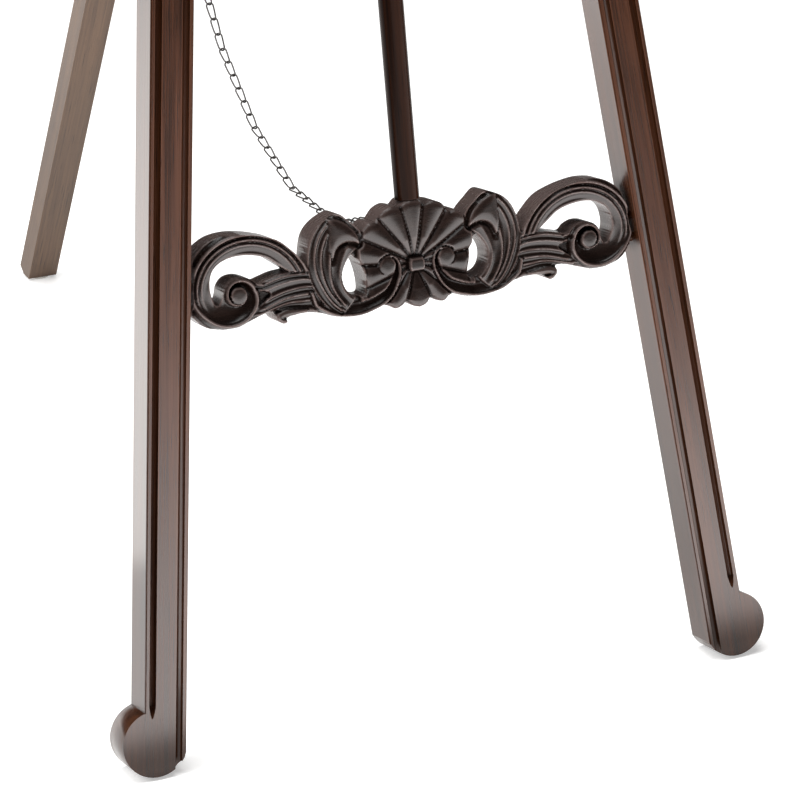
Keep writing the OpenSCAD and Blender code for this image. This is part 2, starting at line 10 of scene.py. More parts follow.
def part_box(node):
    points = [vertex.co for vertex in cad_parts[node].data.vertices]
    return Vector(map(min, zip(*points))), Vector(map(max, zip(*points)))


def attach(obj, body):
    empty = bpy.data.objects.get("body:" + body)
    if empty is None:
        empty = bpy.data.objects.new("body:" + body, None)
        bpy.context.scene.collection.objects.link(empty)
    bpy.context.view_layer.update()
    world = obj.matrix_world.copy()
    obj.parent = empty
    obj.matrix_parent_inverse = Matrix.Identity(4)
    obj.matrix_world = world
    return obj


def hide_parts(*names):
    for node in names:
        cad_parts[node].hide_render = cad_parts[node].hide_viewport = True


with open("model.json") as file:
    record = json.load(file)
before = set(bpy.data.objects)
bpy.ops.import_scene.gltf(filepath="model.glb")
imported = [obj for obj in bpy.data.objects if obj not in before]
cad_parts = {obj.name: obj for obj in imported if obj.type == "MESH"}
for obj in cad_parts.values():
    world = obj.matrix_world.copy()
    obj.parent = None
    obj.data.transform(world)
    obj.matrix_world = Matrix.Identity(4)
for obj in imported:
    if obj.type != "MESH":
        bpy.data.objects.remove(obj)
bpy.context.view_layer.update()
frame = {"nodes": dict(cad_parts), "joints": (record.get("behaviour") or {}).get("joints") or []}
MM = 0.001
NODES = frame["nodes"]
JOINTS = {j["name"]: j for j in frame["joints"]}

# The front frame leans back: UP runs up its slope, BACK runs from its front face to its rear
UP = Vector(JOINTS["ledge_slide"]["axis"]).normalized()
ACROSS = Vector((1, 0, 0))
BACK = UP.cross(ACROSS).normalized()


def in_frame(node):
    """Lowest and highest (across, back, up) of a CAD node in the leaning frame, in millimetres."""
    co = np.array([v.co for v in NODES[node].data.vertices], float) / MM
    axes = np.array([ACROSS, BACK, UP]).T
    flat = co @ axes
    return flat.min(0), flat.max(0)


# ---------------------------------------------------------------- materials

def node_tree(name):
    """A new material with a Principled shader: the material, its node tree and the shader."""
    mat = bpy.data.materials.new(name)
    mat.use_nodes = True
    tree = mat.node_tree
    tree.nodes.clear()
    out = tree.nodes.new("ShaderNodeOutputMaterial")
    bsdf = tree.nodes.new("ShaderNodeBsdfPrincipled")
    tree.links.new(bsdf.outputs[0], out.inputs[0])
    return mat, tree, bsdf


def add(tree, kind, inputs=None, **settings):
    """Adds a node; each input is either linked from a socket or set to a value."""
    node = tree.nodes.new(kind)
    for key, value in settings.items():
        setattr(node, key, value)
    for key, value in (inputs or {}).items():
        if isinstance(value, bpy.types.NodeSocket):
            tree.links.new(value, node.inputs[key])
        else:
            node.inputs[key].default_value = value
    return node


def ramp(tree, fac, stops):
    """Colour ramp through (place, colour) stops; a single number stands for a grey."""
    node = add(tree, "ShaderNodeValToRGB", {"Fac": fac})
    elements = node.color_ramp.elements
    while len(elements) < len(stops):
        elements.new(0.5)
    for element, (place, colour) in zip(elements, stops):
        element.position = place
        if not isinstance(colour, tuple):
            colour = (colour, colour, colour)
        element.color = (*colour, 1.0)
    return node.outputs["Color"]


def mix(tree, fac, a, b, mode="MIX"):
    """Blends two colours; 0, 6 and 7 are the mix node's factor and its two colour inputs."""
    node = tree.nodes.new("ShaderNodeMix")
    node.data_type = "RGBA"
    node.blend_type = mode
    for key, value in ((0, fac), (6, a), (7, b)):
        if isinstance(value, bpy.types.NodeSocket):
            tree.links.new(value, node.inputs[key])
        else:
            node.inputs[key].default_value = value if key == 0 else (*value, 1.0)
    return node.outputs[2]


def along(direction):
    """Rotation that lays the grain's long axis (Z) along a direction, for a Mapping node."""
    return Vector(direction).normalized().rotation_difference(Vector((0, 0, 1))).to_euler()


def edge_rub_and_highlight(tree, dense, amount):
    """How far an edge is lightened, partly by rubbing and partly as a painted highlight: from the mesh itself
    where it is dense, else from a rounded normal.
    """
    geometry = add(tree, "ShaderNodeNewGeometry")
    if dense:
        return ramp(tree, geometry.outputs["Pointiness"], [(0.505, 0.0), (0.56, amount)])
    soft = add(tree, "ShaderNodeBevel", {"Radius": 0.0025}, samples=4).outputs[0]
    turned = add(tree, "ShaderNodeVectorMath", {0: soft, 1: geometry.outputs["True Normal"]},
                 operation="DOT_PRODUCT").outputs["Value"]
    return ramp(tree, turned, [(0.80, amount), (0.97, 0.0)])


def wood(name, dark, light, grain, gloss=0.12, rub_and_highlight=0.12, rub_and_highlight_colour=None, painted_recess_shade=0.75, bump=0.12, dense=False,
         shine=0.5):
    """Stained and lacquered timber: long streaks and pores along the grain, painted shade in the recesses,
    edges lightened partly by rubbing and partly as a painted highlight.

    gloss is the base roughness; the edge amount and colour set how far and to what the edges are lightened,
    partly by rubbing and partly as a painted highlight; the recess amount sets the painted shade that darkens
    the recesses and dims their specular level; shine is the specular level of open faces."""
    mat, tree, bsdf = node_tree(name)
    where = add(tree, "ShaderNodeTexCoord").outputs["Object"]
    laid = add(tree, "ShaderNodeMapping", {"Vector": where, "Rotation": along(grain)}).outputs[0]

    def grain_noise(across, lengthwise, detail, seed):
        place = add(tree, "ShaderNodeMapping", {"Vector": laid, "Scale": (across, across, lengthwise),
                                                "Location": (seed, seed * 0.7, seed * 0.3)}).outputs[0]
        return add(tree, "ShaderNodeTexNoise", {"Vector": place, "Scale": 1.0, "Detail": detail,
                                                "Roughness": 0.6}).outputs["Fac"]

    bands = grain_noise(34, 1.6, 3.0, 3.1)
    streaks = grain_noise(230, 4.0, 4.0, 7.7)
    pores = grain_noise(900, 22.0, 2.0, 1.9)
    clouds = add(tree, "ShaderNodeTexNoise", {"Vector": where, "Scale": 5.0, "Detail": 2.0}).outputs["Fac"]
    tone = add(tree, "ShaderNodeMath", {0: bands, 1: 0.55}, operation="MULTIPLY").outputs[0]
    tone = add(tree, "ShaderNodeMath", {0: streaks, 1: 0.45, 2: tone}, operation="MULTIPLY_ADD").outputs[0]
    colour = ramp(tree, tone, [(0.34, dark), (0.66, light)])
    deep = tuple(c * 0.35 for c in dark)
    colour = mix(tree, ramp(tree, pores, [(0.30, 0.75), (0.42, 0.0)]), colour, deep)
    shade = ramp(tree, clouds, [(0.3, 0.82), (0.7, 1.12)])
    colour = mix(tree, 1.0, colour, shade, "MULTIPLY")
    # Painted shade: the occlusion mask darkens the colour in the recesses and dims their specular level
    hollow = add(tree, "ShaderNodeAmbientOcclusion", {"Distance": 0.012}, samples=6).outputs["AO"]
    colour = mix(tree, ramp(tree, hollow, [(0.25, painted_recess_shade), (0.85, 0.0)]), colour, tuple(c * 0.28 for c in dark))
    level = ramp(tree, hollow, [(0.35, shine * (1 - painted_recess_shade)), (0.95, shine)])
    tree.links.new(level, bsdf.inputs["Specular IOR Level"])
    # Edges are lightened, partly by rubbing and partly as a painted highlight
    rub_and_highlight_tint = rub_and_highlight_colour or tuple(min(1.0, c * 2.2 + 0.02) for c in light)
    colour = mix(tree, edge_rub_and_highlight(tree, dense, rub_and_highlight), colour, rub_and_highlight_tint)
    tree.links.new(colour, bsdf.inputs["Base Color"])
    rough = add(tree, "ShaderNodeMath", {0: streaks, 1: 0.10, 2: gloss}, operation="MULTIPLY_ADD")
    rough = add(tree, "ShaderNodeMath", {0: clouds, 1: 0.08, 2: rough.outputs[0]}, operation="MULTIPLY_ADD")
    tree.links.new(rough.outputs[0], bsdf.inputs["Roughness"])
    lumps = add(tree, "ShaderNodeMath", {0: pores, 1: 0.5, 2: streaks}, operation="MULTIPLY_ADD").outputs[0]
    relief = add(tree, "ShaderNodeBump", {"Height": lumps, "Strength": bump, "Distance": 0.0004})
    tree.links.new(relief.outputs[0], bsdf.inputs["Normal"])
    return mat


def metal(name, base, tarnish, rough, metallic=0.9):
    """Aged metal: tarnish in clouds, edges brightened by rubbing, fine scratches."""
    mat, tree, bsdf = node_tree(name)
    where = add(tree, "ShaderNodeTexCoord").outputs["Object"]
    clouds = add(tree, "ShaderNodeTexNoise", {"Vector": where, "Scale": 320.0, "Detail": 4.0}).outputs["Fac"]
    scratch = add(tree, "ShaderNodeMapping", {"Vector": where, "Scale": (400.0, 2600.0, 400.0)}).outputs[0]
    fine = add(tree, "ShaderNodeTexNoise", {"Vector": scratch, "Scale": 1.0, "Detail": 2.0}).outputs["Fac"]
    colour = ramp(tree, clouds, [(0.35, tarnish), (0.62, base)])
    colour = mix(tree, edge_rub_and_highlight(tree, False, 0.6), colour, tuple(min(1, c * 1.6) for c in base))
    tree.links.new(colour, bsdf.inputs["Base Color"])
    bsdf.inputs["Metallic"].default_value = metallic
    rough_out = add(tree, "ShaderNodeMath", {0: fine, 1: 0.25, 2: rough - 0.1}, operation="MULTIPLY_ADD")
    tree.links.new(rough_out.outputs[0], bsdf.inputs["Roughness"])
    relief = add(tree, "ShaderNodeBump", {"Height": fine, "Strength": 0.15, "Distance": 0.0002})
    tree.links.new(relief.outputs[0], bsdf.inputs["Normal"])
    return mat


def felt():
    """Pale pad felt with short fibres."""
    mat, tree, bsdf = node_tree("felt")
    where = add(tree, "ShaderNodeTexCoord").outputs["Object"]
    fibres = add(tree, "ShaderNodeTexNoise", {"Vector": where, "Scale": 1400.0, "Detail": 6.0,
                                              "Distortion": 1.2}).outputs["Fac"]
    tree.links.new(ramp(tree, fibres, [(0.3, (0.62, 0.60, 0.55)), (0.7, (0.86, 0.84, 0.80))]),
                   bsdf.inputs["Base Color"])
    bsdf.inputs["Roughness"].default_value = 0.95
    bsdf.inputs["Sheen Weight"].default_value = 0.4
    relief = add(tree, "ShaderNodeBump", {"Height": fibres, "Strength": 0.6, "Distance": 0.0006})
    tree.links.new(relief.outputs[0], bsdf.inputs["Normal"])
    return mat


def leg_direction(node):
    """Direction of a slanting bar from its lowest to its highest end."""
    co = np.array([v.co for v in NODES[node].data.vertices], float)
    end = 30 * MM
    low = co[co[:, 2] < co[:, 2].min() + end].mean(0)
    high = co[co[:, 2] > co[:, 2].max() - end].mean(0)
    return high - low


STAIN_DARK = (0.013, 0.0040, 0.0015)
STAIN_LIGHT = (0.072, 0.0245, 0.0100)
left_wood = wood("stained_left_leg", STAIN_DARK, STAIN_LIGHT, leg_direction("left_front_leg"))
right_wood = wood("stained_right_leg", STAIN_DARK, STAIN_LIGHT, leg_direction("right_front_leg"))
up_wood = wood("stained_upright", (0.004, 0.0011, 0.0004), (0.020, 0.0062, 0.0022), UP, shine=0.03)
across_wood = wood("stained_across", STAIN_DARK, STAIN_LIGHT, ACROSS)
# The carving's pale grey-purple edge colour is mostly a painted highlight on its rims; its recesses take
# strong painted shade
carved_wood = wood("carved", (0.0035, 0.0019, 0.0015), (0.014, 0.0075, 0.0056), ACROSS, gloss=0.18, rub_and_highlight=0.45,
                   rub_and_highlight_colour=(0.17, 0.125, 0.115), painted_recess_shade=0.9, bump=0.06, dense=True, shine=0.30)
rear_wood = wood("rear_leg_wood", (0.050, 0.024, 0.012), (0.130, 0.072, 0.038), leg_direction("rear_leg"),
                 gloss=0.42, rub_and_highlight=0.15, painted_recess_shade=0.3)
dowel_wood = wood("beech", (0.42, 0.27, 0.15), (0.62, 0.44, 0.27), ACROSS, gloss=0.6, rub_and_highlight=0.1, painted_recess_shade=0.2)
brass = metal("aged_brass", (0.50, 0.36, 0.15), (0.16, 0.10, 0.045), 0.38)
black_steel = metal("blackened_steel", (0.055, 0.050, 0.048), (0.012, 0.011, 0.010), 0.42, metallic=0.35)
felt_pad = felt()

FINISH = {
    "left_front_leg": left_wood, "left_foot_scroll": left_wood,
    "right_front_leg": right_wood, "right_foot_scroll": right_wood,
    "centre_rod": up_wood, "ledge_carriage": up_wood, "clamp_knob": across_wood,
    "top_rail": across_wood, "picture_ledge": across_wood, "ledge_lip": across_wood,
    "carved_stretcher": carved_wood, "top_crest": carved_wood,
    "rear_leg": rear_wood, "front_foot_pads": felt_pad, "rear_foot_pad": felt_pad,
    "stretcher_dowels": across_wood, "top_rail_dowels": dowel_wood, "crest_dowels": dowel_wood,
    "hinge_frame_leaf": brass, "hinge_leg_leaf": brass, "hinge_pin": brass, "hinge_frame_screws": brass,
    "hinge_leg_screws": brass, "chain_front_eye": brass, "ledge_screws": brass, "clamp_insert": brass,
    "clamp_screw": brass, "chain_rear_staple": black_steel,
}
# Bevel of the sharp edges, in millimetres, on the CAD nodes that show
EDGE_ROUND = {"rear_leg": 1.6, "left_front_leg": 1.0, "right_front_leg": 1.0, "left_foot_scroll": 1.4,
              "right_foot_scroll": 1.4, "top_rail": 1.2, "picture_ledge": 1.6, "ledge_lip": 1.2,
              "ledge_carriage": 2.0, "hinge_frame_leaf": 0.25, "hinge_leg_leaf": 0.25, "centre_rod": 0.6,
              "front_foot_pads": 0.5, "rear_foot_pad": 0.5}

for name, obj in NODES.items():
    obj.data.materials.clear()
    obj.data.materials.append(FINISH.get(name, black_steel))
    weld = obj.modifiers.new("weld", "WELD")
    weld.merge_threshold = 0.00001
    if name in EDGE_ROUND:
        bevel = obj.modifiers.new("edges", "BEVEL")
        bevel.width = EDGE_ROUND[name] * MM
        bevel.segments = 3
        bevel.limit_method = "ANGLE"
        bevel.angle_limit = math.radians(32)
        bevel.harden_normals = True


# ---------------------------------------------------------------- mesh helpers

def make_mesh(name, vertices, faces, material, smooth_angle=None):
    """A smooth object; edges sharper than smooth_angle (degrees), if given, stay hard."""
    mesh = bpy.data.meshes.new(name)
    mesh.from_pydata([tuple(v) for v in vertices], [], [tuple(f) for f in faces])
    mesh.update()
    mesh.materials.append(material)
    mesh.polygons.foreach_set("use_smooth", [True] * len(mesh.polygons))
    if smooth_angle:
        mesh.set_sharp_from_angle(angle=math.radians(smooth_angle))
    obj = bpy.data.objects.new(name, mesh)
    bpy.context.scene.collection.objects.link(obj)
    return obj


# ---------------------------------------------------------------- curves and distances

def spline(pts, n=6):
    """Smooth curve through points, with n steps from each to the next."""
    p = np.asarray(pts, float)
    out = []
    for i in range(len(p) - 1):
        a, b, c, d = p[max(i - 1, 0)], p[i], p[i + 1], p[min(i + 2, len(p) - 1)]
        for k in range(n):
            t = k / n
            square = (2 * a - 5 * b + 4 * c - d) * t**2
            cube = (3 * b - a - 3 * c + d) * t**3
            out.append(0.5 * (2 * b + (c - a) * t + square + cube))
    out.append(p[-1])
    return np.array(out)


def joined(*curves):
    """One outline from curves that meet end to end."""
    return np.vstack([curve[:-1] for curve in curves[:-1]] + [curves[-1]])


def near(curve, x, y):
    """Signed distance to a curve (positive on its left) and how far along it, 0 to 1."""
    a, b = curve[:-1], curve[1:]
    seg = b - a
    length = np.hypot(*seg.T)
    start = np.r_[0, np.cumsum(length)]
    best = np.full(x.shape, 1e9)
    side = np.zeros(x.shape)
    along_it = np.zeros(x.shape)
    for i in range(len(a)):
        px, py = x - a[i, 0], y - a[i, 1]
        t = np.clip((px * seg[i, 0] + py * seg[i, 1]) / (length[i] ** 2 + 1e-12), 0, 1)
        dx, dy = px - t * seg[i, 0], py - t * seg[i, 1]
        d = dx * dx + dy * dy
        m = d < best
        best = np.where(m, d, best)
        cross = seg[i, 0] * py - seg[i, 1] * px
        side = np.where(m, np.sign(cross), side)
        along_it = np.where(m, (start[i] + t * length[i]) / start[-1], along_it)
    return np.sqrt(best) * np.where(side == 0, 1, side), along_it


def inside(poly, x, y):
    """Whether points lie inside a closed outline, by counting the sides that a level line crosses."""
    c = np.zeros(x.shape, bool)
    q = np.roll(poly, -1, axis=0)
    for (x0, y0), (x1, y1) in zip(poly, q):
        if y0 == y1:
            continue
        m = (y0 > y) != (y1 > y)
        c ^= m & (x < (x1 - x0) * (y - y0) / (y1 - y0) + x0)
    return c


def edge(poly, x, y):
    """Signed distance to a closed outline, positive inside."""
    loop = np.vstack([poly, poly[:1]])
    d, _ = near(loop, x, y)
    return np.abs(d) * np.where(inside(poly, x, y), 1, -1)


def polar(x, y, centre):
    """Distance from a centre, and the angle in degrees from outward, turning up."""
    dx, dy = x - centre[0], y - centre[1]
    return np.hypot(dx, dy), np.degrees(np.arctan2(dy, dx))


def ease(a, b, v):
    """Smooth step from 0 at a to 1 at b."""
    t = np.clip((v - a) / (b - a), 0, 1)
    return t * t * (3 - 2 * t)


def half_round(s, centre, half):
    """Section of a bead: 1 on its centre line, 0 at its edges."""
    t = np.clip(1 - ((s - centre) / half) ** 2, 0, 1)
    return np.sqrt(t)


def rounded(t):
    """Quarter-round edge: 0 at t = 0, 1 from t = 1 on."""
    return np.sqrt(np.clip(1 - (1 - np.clip(t, 0, 1)) ** 2, 0, 1))


# ---------------------------------------------------------------- outline of the carving
# The right half, in millimetres: x runs outward from the middle, y up. The left half mirrors it.

SCROLL_EYE = (189.5, 1.0)
VOLUTE_EYE = (31.7, 6.7)
SHELL_HUB = (0.0, 4.0)

SHELL_TOP = joined(spline([[0, 68], [7, 67], [13, 62]], 4),
                   spline([[13, 62], [22, 64], [32, 60], [40, 51]], 4),
                   spline([[40, 51], [48, 51], [55, 44]], 4))
LEAF_TOP = spline([[55, 44], [60, 50], [68, 57], [78, 65], [88, 63], [100, 56.5], [109, 46.5], [113.5, 32],
                   [115, 19]])
SCROLL_TOP = spline([[115, 19], [120, 24], [127, 33], [143, 48], [160, 55], [177, 59], [193, 60.5], [210, 58],
                     [224, 50], [234, 38], [239, 22], [240, 2], [236, -14], [225, -26], [208, -31],
                     [189.5, -31]])
LEAF_UNDER = spline([[189.5, -31], [177, -27], [163, -22.5], [153.5, -22], [151, -30], [144, -34.5],
                     [137, -29.5], [121, -28], [105, -30.5], [92, -35.5], [77, -38.5], [63, -39], [50, -37],
                     [38, -33]], 5)
PALMETTE = joined(spline([[38, -33], [32, -34], [26, -38], [18, -36], [13, -33]], 4),
                  spline([[13, -33], [7, -38], [0, -40]], 4))
HALF = joined(SHELL_TOP, LEAF_TOP, SCROLL_TOP, LEAF_UNDER, PALMETTE)
WHOLE = np.vstack([HALF, (HALF * [-1, 1])[::-1][1:-1]])

SCROLL_WINDOW = joined(
    spline([[213, -6], [217.5, 10], [214.5, 26], [205, 35], [190, 39], [173, 38], [158, 33.5], [146, 25],
            [133, 15]]),
    spline([[133, 15], [146, 14], [158, 11], [168, 9], [174, 14], [184, 17.5], [195, 16], [202, 9], [205, -1],
            [209, -8]]))
SHELL_WINDOW = spline([[68, 23], [75, 14], [79, 4], [78, -7], [73, -15], [64, -19], [56, -19], [55, -8],
                       [57, 5], [61, 16], [68, 23]], 5)


def silhouette(x, y, scroll_windows=True):
    """Signed distance to the carving's outline and its windows, positive in the wood."""
    d = edge(WHOLE, x, y)
    if scroll_windows:
        d = np.minimum(d, -edge(SCROLL_WINDOW, x, y))
    return np.minimum(d, -edge(SHELL_WINDOW, x, y))


# ---------------------------------------------------------------- relief of the carving
# Each layer is carved over the ones before it: it takes the height so far (mm over the ground) and
# returns the new one.

def coves(curves, x, y, tops, depths):
    """Height between ridge curves in order: a cove dips by its depth between each two of them."""
    ds = [near(c, x, y)[0] for c in curves]
    z = np.full(x.shape, float(tops[-1]))
    # Later curves lie to the right: a point has passed a curve once its signed distance is negative
    for i in range(len(curves) - 1):
        between = (ds[i] <= 0) & (ds[i + 1] > 0)
        f = np.abs(ds[i]) / (np.abs(ds[i]) + np.abs(ds[i + 1]) + 1e-9)
        cove = tops[i] + (tops[i + 1] - tops[i]) * f - depths[i] * 4 * f * (1 - f)
        z = np.where(between, cove, z)
    return np.where(ds[0] > 0, tops[0], z)


def beaded(s, centre, half, rise, bead, hollow):
    """Section of a scroll's band from its edge inwards: a rise, a bead, then a hollow."""
    return np.where(s < centre - half, rise, np.where(s < centre + half, bead, hollow))


def eye_disc(reach, radius, rim):
    """Flat round eye of a scroll, softened towards its rim."""
    return rim + 1.4 * (1 - np.clip(reach / radius, 0, 1) ** 4)


# Lobes of the shell lie between these angles (0 up, 90 outward, 180 down) and have these lengths
LOBE_CUTS = (-11.5, 11.5, 36, 60, 84, 108, 134, 160, 200)
LOBE_LENGTHS = (63, 60, 57, 52, 52, 44, 40, 44)


def shell(x, y, z):
    """Lobes that fan out of the hub, each swelling between its cuts."""
    angle = np.degrees(np.arctan2(x - SHELL_HUB[0], y - SHELL_HUB[1]))
    reach = np.hypot(x - SHELL_HUB[0], y - SHELL_HUB[1])
    fan = np.zeros(x.shape)
    for start, end, length in zip(LOBE_CUTS, LOBE_CUTS[1:], LOBE_LENGTHS):
        off_centre = np.clip(np.abs((angle - (start + end) / 2) / ((end - start) / 2)), 0, 1)
        swell = 5.6 * np.sqrt(np.clip(1 - off_centre**2, 0, 1))
        rise = 2.2 + 4.0 * np.sin(np.clip(reach / length, 0, 1.15) * np.pi * 0.55)
        lobe = rise + swell * np.clip(reach / 26, 0.15, 1)
        fan = np.where((angle >= start) & (angle < end), lobe, fan)
    return np.where((x < 62) & (reach < 70), fan - 0.8, z)


# The outer scroll's radius at each quarter turn, counted clockwise from outward
SCROLL_QUARTERS = np.arange(-2, 8)
SCROLL_RADII = (79, 59.5, 50.5, 32, 22.5, 17, 13.0, 11, 9.6, 9.0)


def eased_spiral():
    """Finely spaced quarter turns and log radii of the outer scroll, smoothed over about a quarter turn."""
    turns = np.linspace(-2, 7, 181)
    logs = np.interp(turns, SCROLL_QUARTERS, np.log(SCROLL_RADII))
    window = np.hanning(19)
    window /= window.sum()
    return turns, np.convolve(np.pad(logs, 9, mode="edge"), window, "valid")


SPIRAL_TURNS, SPIRAL_LOGS = eased_spiral()


def scroll_radius(quarters):
    return np.exp(np.interp(quarters, SPIRAL_TURNS, SPIRAL_LOGS))


def outer_scroll(x, y, z):
    """C-scroll: a moulded top edge that winds into a beaded, hollowed band around its eye."""
    reach, angle = polar(x, y, SCROLL_EYE)
    first_turn = -angle / 90
    second_turn = first_turn + 4
    from_first = scroll_radius(first_turn) - reach
    from_second = scroll_radius(second_turn) - reach
    wound = from_second >= 0
    s = np.where(wound, from_second, from_first)
    quarters = np.where(wound, second_turn, first_turn)
    width = np.where(wound, scroll_radius(second_turn) - 8.6,
                     scroll_radius(first_turn) - scroll_radius(second_turn))
    moulding = np.interp(s, [0, .7, 2.2, 3.6, 4.6, 6.2, 7.4, 8.6, 9.6, 11.2, 12.4, 16, 19, 21, 23],
                         [7.5, 9.5, 10.6, 9.2, 6.2, 6.4, 9.9, 10.0, 7.2, 7.6, 9.4, 7.2, 6.2, 6.4, 6.8])
    centre = np.clip(0.34 * width, 1.6, 4.6)
    half = np.clip(0.16 * width, 1.2, 2.1)
    rise = np.interp(s / centre, [0, 0.35, 0.6], [4.5, 7.6, 8.6])
    bead = 8.6 + 2.4 * half_round(s, centre, half)
    inward = (s - centre - half) / np.maximum(np.clip(width, 3, 60) - centre - half, 0.1)
    hollow = 8.2 - 6.2 * np.sin(np.clip(inward, 0, 1) ** 0.8 * np.pi / 2)
    band = beaded(s, centre, half, rise, bead, hollow)
    w = ease(-0.25, 0.35, quarters)
    z = np.where((from_first >= 0) & (x > 108), moulding * (1 - w) + band * w, z)
    return np.where(reach < 9.0, eye_disc(reach, 9.0, 9.6), z)


MIDDLE_LEAF = joined(
    spline([[108, 14], [120, 14], [133, 15], [146, 14], [158, 11.5], [168, 10]], 5),
    spline([[168, 10], [160, 6], [163, 2], [156, -3], [161, -8], [170, -14], [178, -22], [186, -29]], 5),
    spline([[186, -29], [177, -26.5], [163, -22.5], [153.5, -21], [140, -21], [124, -25], [108, -29]], 5))
MIDDLE_RIDGES = [spline(ridge, 5) for ridge in (
    [[106, 16], [125, 16.5], [146, 15], [170, 11]],
    [[106, 9], [122, 12], [140, 12.5], [158, 8.5]],
    [[106, 3], [122, 7], [142, 6], [160, 2]],
    [[106, -3], [122, -1], [142, -3], [160, -8]],
    [[106, -9], [122, -8.5], [142, -10], [164, -17]],
    [[106, -16], [122, -15], [142, -15], [170, -22]],
    [[106, -25], [122, -22.5], [142, -20], [184, -29]])]
TIP_GAP = spline([[170, 5.5], [163, 4.6], [157, 6.0], [151, 7.5]], 5)
HOOK = spline([[121, -25], [132, -24.5], [142, -24.5], [149, -27], [147, -31], [142, -33]], 6)


def middle_leaf(x, y, z):
    """Ridges that flow from the crescent towards the scroll's eye, with a dark gap under the tips."""
    reach, _ = polar(x, y, SCROLL_EYE)
    ridges = coves(MIDDLE_RIDGES, x, y, [8, 8.2, 9.2, 8.8, 9.4, 8.4, 7.2], [2.2, 2.6, 1.8, 2.6, 2.0, 2.4])
    z = np.where(inside(MIDDLE_LEAF, x, y) & (reach > 22), ridges, z)
    d, t = near(TIP_GAP, x, y)
    return np.where(np.abs(d) < 1.7 * (1 - t) + 0.2, np.minimum(z, 4.5 + 2 * t), z)


def hook(x, y, z):
    """Half-round hook under the leaf, thickest past its middle."""
    d, t = near(HOOK, x, y)
    half = 2.2 + 2.2 * np.sin(np.pi * np.clip(t, 0, 1) ** 1.4)
    return np.where(np.abs(d) < half, 6.5 + 3.6 * np.sqrt(np.clip(1 - (d / half) ** 2, 0, 1)), z)


# The inner volute's edge, by degrees turned clockwise from outward, and the width of its band
VOLUTE_TURNS = (20, 35, 45, 56, 67, 81, 100, 120, 151, 180, 213, 252, 300, 360)
VOLUTE_RADII = (86, 74, 64.5, 55.5, 47.5, 40.5, 31, 23.3, 17.2, 14.4, 12.4, 11.2, 10.2, 9.4)
BAND_TURNS = (20, 45, 90, 120, 150, 180, 213, 252, 300, 360)
BAND_WIDTHS = (20, 19, 16, 11, 7.2, 5.2, 3.6, 2.6, 1.6, 0.6)


def inner_volute(x, y, z):
    """Beaded band that winds out of the crescent's foot into the eye beside the shell."""
    reach, angle = polar(x, y, VOLUTE_EYE)
    turned = -np.where(angle > -10, angle - 360, angle)
    s = np.exp(np.interp(turned, VOLUTE_TURNS, np.log(VOLUTE_RADII))) - reach
    width = np.interp(turned, BAND_TURNS, BAND_WIDTHS)
    centre = np.clip(0.26 * width, 1.2, 3.0)
    half = np.clip(0.17 * width, 0.8, 1.7)
    rise = np.interp(s / centre, [0, 0.35, 0.6], [5, 8, 8.8])
    bead = 8.8 + 2.2 * half_round(s, centre, half)
    inward = np.clip((s - centre - half) / np.maximum(width - centre - half, 0.1), 0, 1)
    hollow = 8.0 - 4.6 * np.sin(inward * np.pi * 0.62)
    band = beaded(s, centre, half, rise, bead, hollow)
    z = np.where((s >= 0) & (s < width) & (reach > 8.8) & (x < 122), band, z)
    return np.where(reach < 9.4, eye_disc(reach, 9.4, 9.8), z)


# Ridges of the crescent leaf, from its outer edge to its inner one
CRESCENT_POINTS = (
    [[84, 66], [96, 60.5], [106, 50], [112.5, 37], [115, 25], [115.3, 13.3], [113, 1.7], [108.5, -10],
     [101, -22], [93, -30], [84, -36]],
    [[84, 62], [93, 55.5], [101, 46], [106.5, 33.3], [108.3, 20], [107, 8.3], [103.2, -2], [98.5, -12],
     [92, -22], [84, -30]],
    [[82, 58], [88, 52], [94.5, 44], [100, 31.7], [101.8, 18.3], [100.4, 5], [96.4, -7], [91, -16],
     [84, -25]],
    [[76, 52], [81, 47], [86.8, 38], [91, 26.7], [93.2, 11.7], [92, -3.3], [87.5, -15], [80.5, -25.5]],
    [[62, 41], [70, 34], [76, 24], [80.5, 13.3], [82.5, 3.3], [81, -6], [77.5, -14], [72, -21]],
    [[60, 28], [68, 23.4], [74, 15], [78.5, 4], [77.5, -6], [72.5, -15], [66, -20]])
CRESCENT_RIDGES = [spline(ridge, 5) for ridge in CRESCENT_POINTS]
CRESCENT = np.vstack([
    spline([[55, 46], [60, 51.5], [68, 58.5], [78, 67]], 5)[:-1],
    CRESCENT_RIDGES[0],
    spline([[84, -36], [76, -31], [70, -25], [66, -20]], 4),
    CRESCENT_RIDGES[-1][::-1],
    spline([[60, 28], [55.5, 31], [54.5, 38], [55, 46]], 4)])
FOLDED_TIP = joined(
    spline([[91, 62], [82, 61], [74, 57], [66, 50], [60.5, 42], [58.5, 32]], 5),
    spline([[58.5, 32], [66, 35], [75, 35.5], [83, 31], [88.5, 20]], 5),
    spline([[88.5, 20], [92.5, 32], [92, 46], [91, 62]], 5))


def crescent(x, y, z):
    """Acanthus crescent with deep coves; its tip folds over towards the shell and overhangs the rest."""
    leaf = inside(CRESCENT, x, y)
    ridges = coves(CRESCENT_RIDGES, x, y, [9.0, 10.4, 10.6, 10.8, 8.4, 7.2], [3.0, 2.6, 3.4, 2.6, 0.6])
    z = np.where(leaf, ridges, z)
    d = edge(FOLDED_TIP, x, y)
    z = np.where(leaf & (d <= 0) & (x < 90), z - 3.2 * ease(-6.0, 0.0, d), z)
    return np.where(leaf & (d > 0), 8.0 + 3.8 * rounded(d / 10.0), z)


KNOT_Y = 3.4
KNOT_HALF = 6.8


